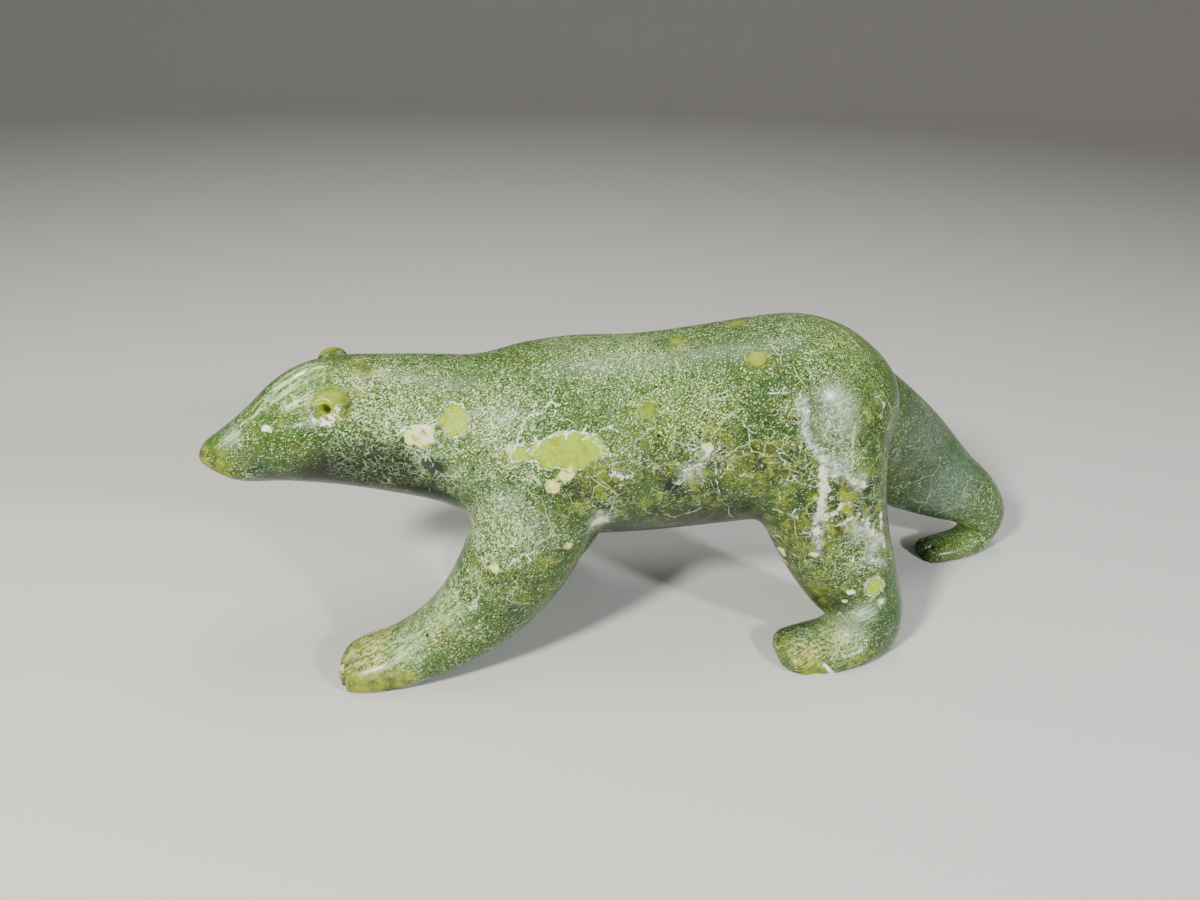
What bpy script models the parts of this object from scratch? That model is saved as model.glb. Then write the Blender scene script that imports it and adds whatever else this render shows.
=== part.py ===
"""Bear carving: one solid piece of carved stone, walking with its head held low."""

import math

import bmesh
import bpy
from mathutils import Matrix, Vector

MM = 0.001

# All sizes are millimetres.  The bear walks toward -X, its left side is -Y and
# its soles stand on Z = 0.

# Head, neck and trunk: x, y of the middle, top, underside, half width,
# share of the height where the section is widest, squareness above and below.
TRUNK = (
    (-154.0, -7.0, 79.5, 76.5, 3.0, 0.50, 2.2, 2.2),
    (-152.3, -7.0, 82.2, 75.6, 6.2, 0.50, 2.3, 2.3),
    (-148.5, -6.8, 84.8, 73.2, 8.2, 0.48, 2.3, 2.4),
    (-143.0, -6.4, 88.9, 69.5, 10.2, 0.46, 2.1, 2.4),
    (-136.0, -6.0, 94.9, 68.8, 13.0, 0.46, 1.9, 2.3),
    (-128.0, -5.4, 102.4, 69.2, 17.0, 0.46, 1.8, 2.2),
    (-119.0, -4.6, 107.5, 68.7, 20.5, 0.46, 1.8, 2.2),
    (-108.0, -3.6, 109.4, 66.6, 22.0, 0.48, 1.9, 2.2),
    (-94.0, -2.2, 108.8, 62.2, 22.0, 0.50, 2.0, 2.2),
    (-78.0, -1.0, 107.6, 57.0, 24.0, 0.50, 2.1, 2.1),
    (-62.0, 0.0, 106.3, 50.0, 28.5, 0.48, 2.1, 2.1),
    (-46.0, 0.0, 110.2, 44.3, 31.5, 0.48, 2.1, 2.1),
    (-28.0, 0.0, 112.6, 41.2, 31.5, 0.48, 2.1, 2.1),
    (-8.0, 0.0, 112.8, 40.9, 31.0, 0.47, 2.1, 2.1),
    (12.0, 0.0, 115.0, 41.9, 31.0, 0.47, 2.1, 2.1),
    (32.0, 0.0, 117.8, 43.7, 32.0, 0.47, 2.1, 2.1),
    (50.0, 0.0, 119.2, 46.0, 32.0, 0.48, 2.1, 2.1),
    (66.0, 1.0, 115.0, 50.0, 29.0, 0.48, 2.1, 2.1),
    (78.0, 2.0, 107.0, 58.0, 23.0, 0.50, 2.1, 2.1),
    (84.5, 2.5, 100.5, 67.0, 16.0, 0.50, 2.1, 2.1),
    (88.5, 3.0, 94.0, 76.0, 7.5, 0.50, 2.1, 2.1),
)

# Legs: middle x, y, z, half depth along the walk, half width across, squareness.
NEAR_FORE = (
    (-42.0, -12.0, 92.0, 20.0, 14.0, 2.1),
    (-42.5, -16.5, 76.0, 22.5, 17.0, 2.1),
    (-44.2, -21.0, 58.0, 21.0, 16.5, 2.1),
    (-51.8, -25.0, 41.2, 19.0, 15.0, 2.1),
    (-63.5, -28.0, 25.8, 16.0, 13.5, 2.1),
    (-78.0, -29.5, 14.2, 12.3, 13.0, 2.2),
    (-93.0, -30.2, 7.2, 9.2, 13.0, 2.3),
    (-104.5, -30.5, 4.8, 7.3, 12.6, 2.4),
    (-110.0, -30.5, 3.6, 5.8, 11.6, 2.4),
)
FAR_FORE = (
    (-38.0, 12.0, 92.0, 19.0, 14.0, 2.1),
    (-33.0, 16.0, 76.0, 21.0, 16.0, 2.1),
    (-27.0, 19.0, 58.0, 19.0, 15.0, 2.1),
    (-26.0, 21.5, 40.0, 15.5, 13.5, 2.1),
    (-29.0, 23.0, 25.0, 13.5, 13.0, 2.1),
    (-38.0, 24.0, 12.0, 12.0, 12.5, 2.2),
    (-53.0, 25.0, 6.0, 8.5, 12.5, 2.3),
    (-65.0, 25.5, 3.8, 6.5, 12.0, 2.4),
    (-70.0, 25.5, 3.0, 5.0, 11.0, 2.4),
)
NEAR_HIND = (
    (53.0, -12.0, 96.0, 22.0, 15.0, 2.1),
    (54.5, -16.0, 80.0, 25.0, 18.0, 2.1),
    (57.0, -20.0, 62.0, 23.5, 18.0, 2.1),
    (62.5, -25.0, 45.0, 20.3, 16.0, 2.1),
    (70.0, -28.5, 30.0, 17.3, 14.5, 2.1),
    (77.3, -30.0, 18.0, 13.5, 13.0, 2.2),
    (78.5, -30.0, 8.0, 13.0, 12.3, 2.3),
    (78.0, -30.0, 1.0, 11.0, 11.3, 2.3),
)
NEAR_HIND_PAW = (
    (81.0, -29.0, 6.0, 6.5, 9.6, 2.3),
    (75.0, -32.5, 4.5, 7.0, 12.2, 2.4),
    (64.0, -35.2, 3.2, 6.9, 12.8, 2.4),
    (54.0, -36.3, 2.8, 6.3, 12.0, 2.4),
    (47.2, -36.8, 2.6, 5.6, 11.0, 2.4),
)
FAR_HIND = (
    (58.0, 12.0, 90.0, 21.5, 15.0, 2.1),
    (74.0, 16.0, 77.5, 23.5, 17.0, 2.1),
    (92.0, 20.0, 63.0, 24.0, 16.5, 2.1),
    (111.0, 23.0, 48.5, 22.0, 15.0, 2.1),
    (130.0, 25.5, 35.8, 17.3, 13.0, 2.1),
    (145.7, 27.0, 26.6, 13.4, 11.5, 2.1),
    (154.3, 27.7, 18.0, 10.7, 10.5, 2.2),
    (156.2, 27.8, 9.5, 7.6, 9.0, 2.3),
    (154.5, 27.5, 3.0, 6.0, 7.5, 2.3),
)
FAR_HIND_PAW = (
    (156.0, 27.2, 4.5, 5.5, 7.5, 2.3),
    (150.5, 25.3, 3.5, 5.5, 8.2, 2.4),
    (143.0, 23.3, 2.8, 5.2, 8.4, 2.4),
    (135.0, 21.7, 2.3, 4.8, 8.2, 2.4),
    (129.3, 21.2, 2.1, 4.5, 7.8, 2.4),
)

# Ears: middle x, y, z.  Each is a low round lobe, hollowed toward the front,
# with a drilled hole in the hollow.
LEFT = -1
RIGHT = 1
EARS = (
    ((-107.4, -20.6, 101.4), LEFT),
    ((-112.4, 12.8, 102.0), RIGHT),
)
EAR_HALF_SIZE = (4.3, 3.8, 4.4)
EAR_FORWARD = -0.45
EAR_OUTWARD = 0.82
EAR_UPWARD = 0.10
EAR_HOLLOW_RADIUS = 3.3
EAR_HOLLOW_LIFT = 5.2
EAR_HOLLOW_SHIFT = (-0.6, 0.0, -1.0)
EAR_HOLE_DIAMETER = 2.4
EAR_HOLE_DEPTH = 3.5
EAR_HOLE_START = 2.8
EAR_HOLE_SIDES = 14
BALL_SEGMENTS = 20
BALL_RINGS = 10

# Flat facets planed on the head: middle x, y, z, outward direction, reach.
FACETS = (
    ((-121.5, -16.3, 100.6), (-0.29, -0.59, 0.76), 16.0),
    ((-125.0, 6.0, 101.6), (-0.38, 0.53, 0.76), 16.0),
)
FACET_DEPTH = 0.7

# Mouth line on the left cheek, nose to cheek.  The right one mirrors it.
MOUTH_LINE = (
    (-150.5, -13.3, 76.2),
    (-146.0, -15.6, 75.0),
    (-141.0, -17.4, 75.5),
    (-136.0, -19.3, 77.0),
    (-131.5, -21.4, 79.5),
)
MOUTH_GROOVE = 1.0
HEAD_MIDDLE_Y = -6.4

# Notches between the toes, as shares of the paw's half width, left to right.
TOE_NOTCHES = (
    (NEAR_FORE, (-0.52, -0.05, 0.45)),
    (FAR_FORE, (-0.45, 0.0, 0.45)),
    (FAR_HIND_PAW, (-0.35, 0.35)),
)
NOTCH_SIZE = 1.5
NOTCH_DEPTH = 1.0
NOTCH_CLEARANCE = 0.3
NOTCH_TURN = (100, 70, 40, 15, -10)
NOTCH_END_HEIGHT = -3.0

# Places where a leg melts further into the trunk: middle x, y, z, reach, rounds.
BLENDS = (
    (-45.0, -26.0, 78.0, 34.0, 60),
    (-36.0, 26.0, 78.0, 34.0, 60),
    (56.0, -26.0, 80.0, 36.0, 60),
    (80.0, 24.0, 80.0, 36.0, 60),
)

RING_POINTS = 40
STEPS_PER_STATION = 6
TIP_SHARE = 0.8
TIP_RINGS = 4
TIP_LAST_TURN = math.radians(82)
VOXEL = 1.2
SMOOTH_FACTOR = 0.5
SMOOTH_ROUNDS = 9
BLEND_FADE = 0.6
BODY_TRIANGLES = 7400
GROUND_BLOCK = (500.0, 300.0, 40.0)
STONE_COLOUR = (0.085, 0.130, 0.055, 1.0)
STONE_ROUGHNESS = 0.32


def clear_scene():
    for old in list(bpy.data.objects):
        bpy.data.objects.remove(old, do_unlink=True)


def smooth_rows(rows, steps):
    """The rows and further ones between them, on a smooth curve."""
    result = []
    for i in range(len(rows) - 1):
        before = rows[max(i - 1, 0)]
        after = rows[min(i + 2, len(rows) - 1)]
        for step in range(steps):
            t = step / steps
            row = []
            for p, a, b, n in zip(before, rows[i], rows[i + 1], after):
                slope = b - p
                bend = 2 * p - 5 * a + 4 * b - n
                twist = 3 * a - p - 3 * b + n
                row.append(a + 0.5 * (slope * t + bend * t ** 2 + twist * t ** 3))
            result.append(row)
    result.append(list(rows[-1]))
    return result


def bent(value, squareness):
    """A cosine or sine changed from a round to a squarer ring."""
    return math.copysign(abs(value) ** (2.0 / squareness), value)


def solid_from_rings(name, rings):
    """A closed solid through rings of points, flat at both ends."""
    work = bmesh.new()
    loops = []
    for ring in rings:
        loops.append([work.verts.new(Vector(point) * MM) for point in ring])
    count = len(loops[0])
    for one, two in zip(loops, loops[1:]):
        for i in range(count):
            j = (i + 1) % count
            work.faces.new((one[i], one[j], two[j], two[i]))
    work.faces.new(loops[0])
    work.faces.new(loops[-1])
    bmesh.ops.recalc_face_normals(work, faces=work.faces)
    mesh = bpy.data.meshes.new(name)
    work.to_mesh(mesh)
    work.free()
    solid = bpy.data.objects.new(name, mesh)
    bpy.context.scene.collection.objects.link(solid)
    return solid


def trunk_solid():
    rings = []
    for x, y, top, under, wide, level, roof, keel in smooth_rows(TRUNK, STEPS_PER_STATION):
        middle = under + (top - under) * level
        ring = []
        for i in range(RING_POINTS):
            turn = 2 * math.pi * i / RING_POINTS
            upper = math.sin(turn) > 0
            square = roof if upper else keel
            reach = top - middle if upper else middle - under
            side = wide * bent(math.cos(turn), square)
            rise = reach * bent(math.sin(turn), square)
            ring.append((x, y + side, middle + rise))
        rings.append(ring)
    return solid_from_rings("trunk", rings)


def with_round_tip(rows):
    """The rows with a few shrinking ones added as a round end."""
    last = rows[-1]
    step = Vector(last[:3]) - Vector(rows[-2][:3])
    step = step.normalized() * last[3] * TIP_SHARE
    tip = []
    for k in range(1, TIP_RINGS + 1):
        turn = TIP_LAST_TURN * k / TIP_RINGS
        shrink = math.cos(turn)
        middle = Vector(last[:3]) + step * math.sin(turn)
        tip.append([*middle, last[3] * shrink, last[4] * shrink, last[5]])
    return rows + tip


def leg_solid(name, stations):
    rows = with_round_tip(smooth_rows(stations, STEPS_PER_STATION))
    middles = [Vector(row[:3]) for row in rows]
    rings = []
    for i, row in enumerate(rows):
        along = middles[min(i + 1, len(rows) - 1)] - middles[max(i - 1, 0)]
        fore = Vector((0, 1, 0)).cross(along).normalized()
        across = along.cross(fore).normalized()
        depth, width, square = row[3:]
        ring = []
        for k in range(RING_POINTS):
            turn = 2 * math.pi * k / RING_POINTS
            ring.append(middles[i]
                        + fore * depth * bent(math.cos(turn), square)
                        + across * width * bent(math.sin(turn), square))
        rings.append(ring)
    return solid_from_rings(name, rings)


def select_only(target):
    bpy.ops.object.select_all(action="DESELECT")
    target.select_set(True)
    bpy.context.view_layer.objects.active = target


def apply_modifier(body, kind, **settings):
    step = body.modifiers.new(kind.title(), kind)
    for key, value in settings.items():
        setattr(step, key, value)
    select_only(body)
    bpy.ops.object.modifier_apply(modifier=step.name)


def rough_body():
    """Trunk and legs, overlapping, melted into one smooth skin."""
    body = trunk_solid()
    legs = (("near_fore", NEAR_FORE), ("far_fore", FAR_FORE),
            ("near_hind", NEAR_HIND), ("near_hind_paw", NEAR_HIND_PAW),
            ("far_hind", FAR_HIND), ("far_hind_paw", FAR_HIND_PAW))
    solids = [leg_solid(name, stations) for name, stations in legs]
    select_only(body)
    for solid in solids:
        solid.select_set(True)
    bpy.ops.object.join()
    apply_modifier(body, "REMESH", mode="VOXEL", voxel_size=VOXEL * MM)
    apply_modifier(body, "SMOOTH", factor=SMOOTH_FACTOR, iterations=SMOOTH_ROUNDS)
    return body


def soften(body, middle, reach, rounds):
    """Smooth the skin around a point, most at the point and less toward the edge."""
    work = bmesh.new()
    work.from_mesh(body.data)
    middle = Vector(middle) * MM
    near = [(vert, (vert.co - middle).length / (reach * MM)) for vert in work.verts]
    for step in range(rounds):
        limit = 1.0 - BLEND_FADE * step / rounds
        verts = [vert for vert, share in near if share < limit]
        bmesh.ops.smooth_vert(work, verts=verts, factor=SMOOTH_FACTOR,
                              use_axis_x=True, use_axis_y=True, use_axis_z=True)
    work.to_mesh(body.data)
    work.free()


def plane_facet(body, middle, outward, reach):
    """Rub the skin around a point down to a flat facet."""
    outward = Vector(outward).normalized()
    middle = Vector(middle) * MM
    for vert in body.data.vertices:
        offset = vert.co - middle
        height = offset.dot(outward) + FACET_DEPTH * MM
        if height > 0 and offset.length < reach * MM:
            vert.co -= outward * height


def cut(body, cutter):
    apply_modifier(body, "BOOLEAN", operation="DIFFERENCE", solver="EXACT", object=cutter)
    bpy.data.objects.remove(cutter, do_unlink=True)


def add(body, other):
    apply_modifier(body, "BOOLEAN", operation="UNION", solver="EXACT", object=other)
    bpy.data.objects.remove(other, do_unlink=True)


def cut_soles(body):
    bpy.ops.mesh.primitive_cube_add(size=1.0)
    ground = bpy.context.active_object
    ground.scale = Vector(GROUND_BLOCK) * MM
    ground.location = (0.0, 0.0, -GROUND_BLOCK[2] / 2 * MM)
    cut(body, ground)


def ball(middle, radii):
    bpy.ops.mesh.primitive_uv_sphere_add(segments=BALL_SEGMENTS, ring_count=BALL_RINGS,
                                         radius=MM)
    shape = bpy.context.active_object
    shape.location = Vector(middle) * MM
    shape.scale = radii
    bpy.ops.object.transform_apply(location=True, rotation=False, scale=True)
    return shape


def make_ear(body, middle, side):
    """A lobe added at the head's side, scooped out and drilled."""
    middle = Vector(middle)
    add(body, ball(middle, EAR_HALF_SIZE))
    out = Vector((EAR_FORWARD, EAR_OUTWARD * side, EAR_UPWARD)).normalized()
    hollow = middle + out * EAR_HOLLOW_LIFT + Vector(EAR_HOLLOW_SHIFT)
    cut(body, ball(hollow, [EAR_HOLLOW_RADIUS] * 3))
    bpy.ops.mesh.primitive_cylinder_add(vertices=EAR_HOLE_SIDES,
                                        radius=EAR_HOLE_DIAMETER / 2 * MM,
                                        depth=2 * EAR_HOLE_DEPTH * MM)
    drill = bpy.context.active_object
    drill.rotation_euler = out.to_track_quat("Z", "Y").to_euler()
    drill.location = (hollow - out * EAR_HOLE_START) * MM
    cut(body, drill)


def groove_cutter(path, size):
    """A square bar along a path that runs lengthwise, standing on its corner."""
    rings = []
    points = [Vector(point) for point in path]
    for i, point in enumerate(points):
        along = points[min(i + 1, len(points) - 1)] - points[max(i - 1, 0)]
        two = along.cross(Vector((0, 1, 0))).normalized()
        one = two.cross(along).normalized()
        rings.append([point + one * size, point + two * size,
                      point - one * size, point - two * size])
    return solid_from_rings("groove", rings)


def toe_notch_path(stations, share):
    """Over the top of the paw, round its tip and down past the sole."""
    points = []
    for x, y, z, depth, width, square in stations[-2:]:
        rise = depth * (1 - abs(share) ** square) ** (1 / square)
        points.append((x, y + width * share, z, rise))
    before, last = points
    lift = NOTCH_SIZE - NOTCH_DEPTH
    path = [(before[0], before[1], before[2] + before[3] + NOTCH_SIZE + NOTCH_CLEARANCE)]
    x, y, z, rise = last
    for degrees in NOTCH_TURN:
        turn = math.radians(degrees)
        path.append((x - (rise * TIP_SHARE + lift) * math.cos(turn), y,
                     z + (rise + lift) * math.sin(turn)))
    path.append((path[-1][0], y, NOTCH_END_HEIGHT))
    return path


def carve_lines(body):
    mirrored = [(x, 2 * HEAD_MIDDLE_Y - y, z) for x, y, z in MOUTH_LINE]
    cut(body, groove_cutter(MOUTH_LINE, MOUTH_GROOVE))
    cut(body, groove_cutter(mirrored, MOUTH_GROOVE))
    for stations, shares in TOE_NOTCHES:
        for share in shares:
            cut(body, groove_cutter(toe_notch_path(stations, share), NOTCH_SIZE))


def centre_on_ground(body):
    """Move the middle of the footprint to the origin."""
    xs = [vert.co.x for vert in body.data.vertices]
    ys = [vert.co.y for vert in body.data.vertices]
    shift = Vector((-(min(xs) + max(xs)) / 2, -(min(ys) + max(ys)) / 2, 0.0))
    body.data.transform(Matrix.Translation(shift))


def stone_material():
    stone = bpy.data.materials.new("polished green stone")
    stone.use_nodes = True
    shader = stone.node_tree.nodes["Principled BSDF"]
    shader.inputs["Base Color"].default_value = STONE_COLOUR
    shader.inputs["Roughness"].default_value = STONE_ROUGHNESS
    shader.inputs["Metallic"].default_value = 0.0
    return stone


def main():
    clear_scene()
    body = rough_body()
    for x, y, z, reach, rounds in BLENDS:
        soften(body, (x, y, z), reach, rounds)
    for middle, outward, reach in FACETS:
        plane_facet(body, middle, outward, reach)
    count = sum(len(face.vertices) - 2 for face in body.data.polygons)
    apply_modifier(body, "DECIMATE", ratio=BODY_TRIANGLES / count)
    cut_soles(body)
    for middle, side in EARS:
        make_ear(body, middle, side)
    carve_lines(body)
    centre_on_ground(body)
    body.name = "bear"
    body.data.name = "bear"
    body.data.materials.append(stone_material())
    collection = bpy.data.collections.new("bear carving")
    bpy.context.scene.collection.children.link(collection)
    bpy.context.scene.collection.objects.unlink(body)
    collection.objects.link(body)


if __name__ == "__main__":
    main()
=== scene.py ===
import math

import bmesh
import bpy
import numpy as np
from mathutils import Matrix, Vector


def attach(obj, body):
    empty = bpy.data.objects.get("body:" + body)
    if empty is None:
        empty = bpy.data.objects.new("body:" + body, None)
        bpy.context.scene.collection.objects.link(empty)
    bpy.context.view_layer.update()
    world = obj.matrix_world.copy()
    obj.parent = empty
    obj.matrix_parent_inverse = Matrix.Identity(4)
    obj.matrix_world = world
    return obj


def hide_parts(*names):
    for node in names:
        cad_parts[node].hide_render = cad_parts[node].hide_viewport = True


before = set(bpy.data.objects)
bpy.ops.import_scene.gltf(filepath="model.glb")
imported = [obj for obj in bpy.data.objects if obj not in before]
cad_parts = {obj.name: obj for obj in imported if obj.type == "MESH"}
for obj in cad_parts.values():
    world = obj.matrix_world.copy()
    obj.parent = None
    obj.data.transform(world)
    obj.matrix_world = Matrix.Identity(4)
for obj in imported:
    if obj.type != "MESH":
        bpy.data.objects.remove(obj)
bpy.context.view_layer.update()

mm = 0.001  # the places below are in millimetres, in the frame of the model


def linear(hexColour):
    values = [int(hexColour[i:i + 2], 16) / 255 for i in (1, 3, 5)]
    return [v / 12.92 if v <= 0.04045 else ((v + 0.055) / 1.055) ** 2.4 for v in values] + [1.0]


def deselectAll():
    if bpy.context.object and bpy.context.object.mode != "OBJECT":
        bpy.ops.object.mode_set(mode="OBJECT")
    bpy.ops.object.select_all(action="DESELECT")


def pick(piece):
    deselectAll()
    piece.select_set(True)
    bpy.context.view_layer.objects.active = piece


def useModifier(piece, kind, **settings):
    pick(piece)
    modifier = piece.modifiers.new(kind.title(), kind)
    for key, value in settings.items():
        setattr(modifier, key, value)
    bpy.ops.object.modifier_apply(modifier=modifier.name)


def addNode(tree, kind, links=(), **settings):
    # a node with its settings; links are (socket, source) pairs, the source a socket or a plain value
    node = tree.nodes.new(kind)
    for key, value in settings.items():
        setattr(node, key, value)
    for socket, source in links:
        if isinstance(source, bpy.types.NodeSocket):
            tree.links.new(source, node.inputs[socket])
        else:
            node.inputs[socket].default_value = source
    return node


def pointsOf(piece):
    points = np.empty(len(piece.data.vertices) * 3)
    piece.data.vertices.foreach_get("co", points)
    return points.reshape(-1, 3) / mm


def normalsOf(piece):
    normals = np.empty(len(piece.data.vertices) * 3)
    piece.data.vertices.foreach_get("normal", normals)
    return normals.reshape(-1, 3)


def movePoints(piece, points):
    piece.data.vertices.foreach_set("co", (points * mm).ravel())
    piece.data.update()


def nearness(distance, width):
    # 1 on the line, falling smoothly to 0 at the width
    return np.clip(1 - (distance / width) ** 2, 0, 1) ** 2


def distanceToPath(points, path):
    # the shortest way from each point to a run of straight pieces
    best = np.full(len(points), 1e9)
    for a, b in zip(path, path[1:]):
        a = np.array(a, float)
        run = np.array(b, float) - a
        share = np.clip(((points - a) @ run) / (run @ run), 0, 1)
        best = np.minimum(best, np.linalg.norm(points - a - share[:, None] * run, axis=1))
    return best


def onSkin(piece, path, step=1.5):
    # the same path in short steps, each laid on the piece's skin
    laid = []
    for a, b in zip(path, path[1:]):
        a, b = Vector(a), Vector(b)
        count = max(1, round((b - a).length / step))
        laid += [a.lerp(b, i / count) for i in range(count)]
    laid.append(Vector(path[-1]))
    return [tuple(piece.closest_point_on_mesh(place * mm)[1] / mm) for place in laid]


# how a fine crack wanders off its path
crackSettings = {
    "step": 1.1,
    "wander": 0.33,
    "sideCracks": 0.25,    # share of the steps that throw one out
    "sideTurn": (0.6, 1.2),    # radians, off the crack's own way
    "sideLength": (1.2, 3.6),
    "laid": 1.0,           # spacing of its points on the skin
}


def crookedLines(piece, path, seed):
    # the path as a crack in stone runs: crooked, with short side cracks
    s = crackSettings
    chance = np.random.default_rng(seed)
    main = np.array(onSkin(piece, path, s["step"]))
    main[1:-1] += chance.normal(0, s["wander"], main[1:-1].shape)
    found = [[tuple(place) for place in main]]
    for a, b in zip(main[1:-1], main[2:]):
        if chance.random() < s["sideCracks"]:
            turn = chance.choice((-1, 1)) * chance.uniform(*s["sideTurn"])
            along = (b - a) / np.linalg.norm(b - a)
            sideways = np.cross(along, (0, -1, 0))
            way = along * math.cos(turn) + sideways * math.sin(turn)
            found.append([tuple(a), tuple(a + way * chance.uniform(*s["sideLength"]))])
    return [onSkin(piece, line, s["laid"]) for line in found]


# on the bear's left, close by and looking down at it with a wide lens
cameraSettings = {
    "place": (-62.5, -262.0, 216.0),
    "heading": 8.0,    # degrees, clockwise from +Y
    "tilt": 28.4,      # degrees down
    "roll": 1.7,
    "lens": 25.5,      # mm, on a sensor of this width
    "sensor": 36,
    "clipStart": 10,
}


def setCamera():
    s = cameraSettings
    heading, tilt = math.radians(s["heading"]), math.radians(s["tilt"])
    forward = Vector((math.sin(heading) * math.cos(tilt), math.cos(heading) * math.cos(tilt),
                      -math.sin(tilt)))
    right = Vector((math.cos(heading), -math.sin(heading), 0))
    up = right.cross(forward)
    axes = Matrix((right, up, -forward)).transposed().to_4x4()
    roll = Matrix.Rotation(math.radians(s["roll"]), 4, "Z")
    data = bpy.data.cameras.new("camera")
    data.lens = s["lens"]
    data.sensor_width = s["sensor"]
    data.clip_start = s["clipStart"] * mm
    camera = bpy.data.objects.new("camera", data)
    camera.matrix_world = Matrix.Translation(Vector(s["place"]) * mm) @ axes @ roll
    bpy.context.scene.collection.objects.link(camera)
    bpy.context.scene.camera = camera
    print("camera set")


# soft boxes round the table: where each stands, its size and power
lightSettings = {
    "leftBox": {"place": (-560, -520, 620), "size": 130, "power": 16.5, "colour": "#fffdf8"},
    "rightBox": {"place": (560, -600, 440), "size": 80, "power": 8.0, "colour": "#f4f8ff"},
    "overhead": {"place": (40, 120, 900), "size": 400, "power": 3.0, "colour": "#ffffff"},
    "aim": (0, 0, 60),
    "roomColour": "#dfe2e4",
    "roomStrength": 0.10,
}


def setLights():
    s = lightSettings
    for name in ("leftBox", "rightBox", "overhead"):
        box = s[name]
        data = bpy.data.lights.new(name, "AREA")
        data.shape = "DISK"
        data.size = box["size"] * mm
        data.energy = box["power"]
        data.color = linear(box["colour"])[:3]
        light = bpy.data.objects.new(name, data)
        light.location = Vector(box["place"]) * mm
        light.rotation_euler = (light.location - Vector(s["aim"]) * mm).to_track_quat("Z", "Y").to_euler()
        bpy.context.scene.collection.objects.link(light)
    world = bpy.data.worlds.new("room")
    world.use_nodes = True
    background = world.node_tree.nodes["Background"]
    background.inputs["Color"].default_value = linear(s["roomColour"])
    background.inputs["Strength"].default_value = s["roomStrength"]
    bpy.context.scene.world = world
    print("lights set")


# matt paper, flat under the bear and swept up all round far behind it
floorSettings = {
    "flat": 1.6,       # metres from the middle to the start of the sweep
    "sweep": 1.2,      # its radius
    "steps": 12,
    "sides": 96,
    "colour": "#bfbeb9",
    "roughness": 0.75,
}


def makeFloor():
    s = floorSettings
    deselectAll()
    bpy.ops.mesh.primitive_circle_add(vertices=s["sides"], radius=s["flat"], fill_type="NGON")
    floor = bpy.context.object
    floor.name = "floor"
    bpy.ops.object.mode_set(mode="EDIT")
    bpy.ops.mesh.select_mode(type="EDGE")
    radius, height = s["flat"], 0.0
    for step in range(1, s["steps"] + 1):
        turn = math.radians(90 * step / s["steps"])
        wider = s["flat"] + s["sweep"] * math.sin(turn)
        higher = s["sweep"] * (1 - math.cos(turn))
        bpy.ops.mesh.extrude_region_move(TRANSFORM_OT_translate={"value": (0, 0, higher - height)})
        bpy.ops.transform.resize(value=(wider / radius, wider / radius, 1), center_override=(0, 0, 0))
        radius, height = wider, higher
    bpy.ops.mesh.select_all(action="SELECT")
    bpy.ops.mesh.normals_make_consistent(inside=True)
    bpy.ops.object.mode_set(mode="OBJECT")
    bpy.ops.object.shade_smooth()
    paper = bpy.data.materials.new("matt pale paper")
    paper.use_nodes = True
    shader = paper.node_tree.nodes["Principled BSDF"]
    shader.inputs["Base Color"].default_value = linear(s["colour"])
    shader.inputs["Roughness"].default_value = s["roughness"]
    floor.data.materials.append(paper)
    print("floor laid")


# the skin of the carving, in mm
stoneSettings = {
    "merge": 0.01,
    "grain": 1.5,          # spacing of the skin's points
    "closest": 0.5,        # edges shorter than this aren't split again
    "smoothing": 10,
    "smoothFactor": 0.5,
    "sole": 0.6,           # the soles stay flat and sharp up to here
    "rimHeight": 2.5,      # and are smoothed more and more over this height
    "earReach": (10.5, 8.5),   # round the ears, then round cuts and fine lines,
    "cutReach": (3.2, 2.0),    # the skin is split twice, the second time closer in
    "lineReach": (2.2, 1.2),
}


def copyOfBear():
    # the model's bear with its loose triangles merged and a fine even skin
    s = stoneSettings
    bear = bpy.data.objects.new("bearStone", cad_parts["bear"].data.copy())
    bear.data.materials.clear()
    bpy.context.scene.collection.objects.link(bear)
    pick(bear)
    bpy.ops.object.mode_set(mode="EDIT")
    bpy.ops.mesh.select_all(action="SELECT")
    bpy.ops.mesh.remove_doubles(threshold=s["merge"] * mm)
    bpy.ops.object.mode_set(mode="OBJECT")
    useModifier(bear, "REMESH", mode="VOXEL", voxel_size=s["grain"] * mm, adaptivity=0.0)
    points = pointsOf(bear)
    skin = bear.vertex_groups.new(name="skin")
    weights = np.clip((points[:, 2] - s["sole"]) / s["rimHeight"], 0, 1)
    for tenth in range(1, 11):
        chosen = np.where(np.round(weights * 10) == tenth)[0]
        skin.add([int(i) for i in chosen], tenth / 10, "REPLACE")
    useModifier(bear, "SMOOTH", factor=s["smoothFactor"], iterations=s["smoothing"], vertex_group="skin")
    bear.vertex_groups.clear()
    print("stone skin", len(bear.data.polygons))
    return bear


def refineOnce(bear, paths, reach):
    # points twice as close along the paths, where fine carving and thin lines go
    points = pointsOf(bear)
    near = np.zeros(len(points), bool)
    for path in paths:
        near |= distanceToPath(points, path) < reach
    mesh = bmesh.new()
    mesh.from_mesh(bear.data)
    shortest = stoneSettings["closest"] * mm
    edges = [edge for edge in mesh.edges if edge.calc_length() > shortest
             and near[edge.verts[0].index] and near[edge.verts[1].index]]
    bmesh.ops.subdivide_edges(mesh, edges=edges, cuts=1, use_grid_fill=True)
    bmesh.ops.triangulate(mesh, faces=[f for f in mesh.faces if len(f.verts) > 4])
    mesh.to_mesh(bear.data)
    mesh.free()


def refine(bear, paths, reaches):
    for reach in reaches:
        refineOnce(bear, paths, reach)


def spotAt(place):
    # a place as the shortest of paths
    return place, (place[0] + 0.1, *place[1:])


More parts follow.
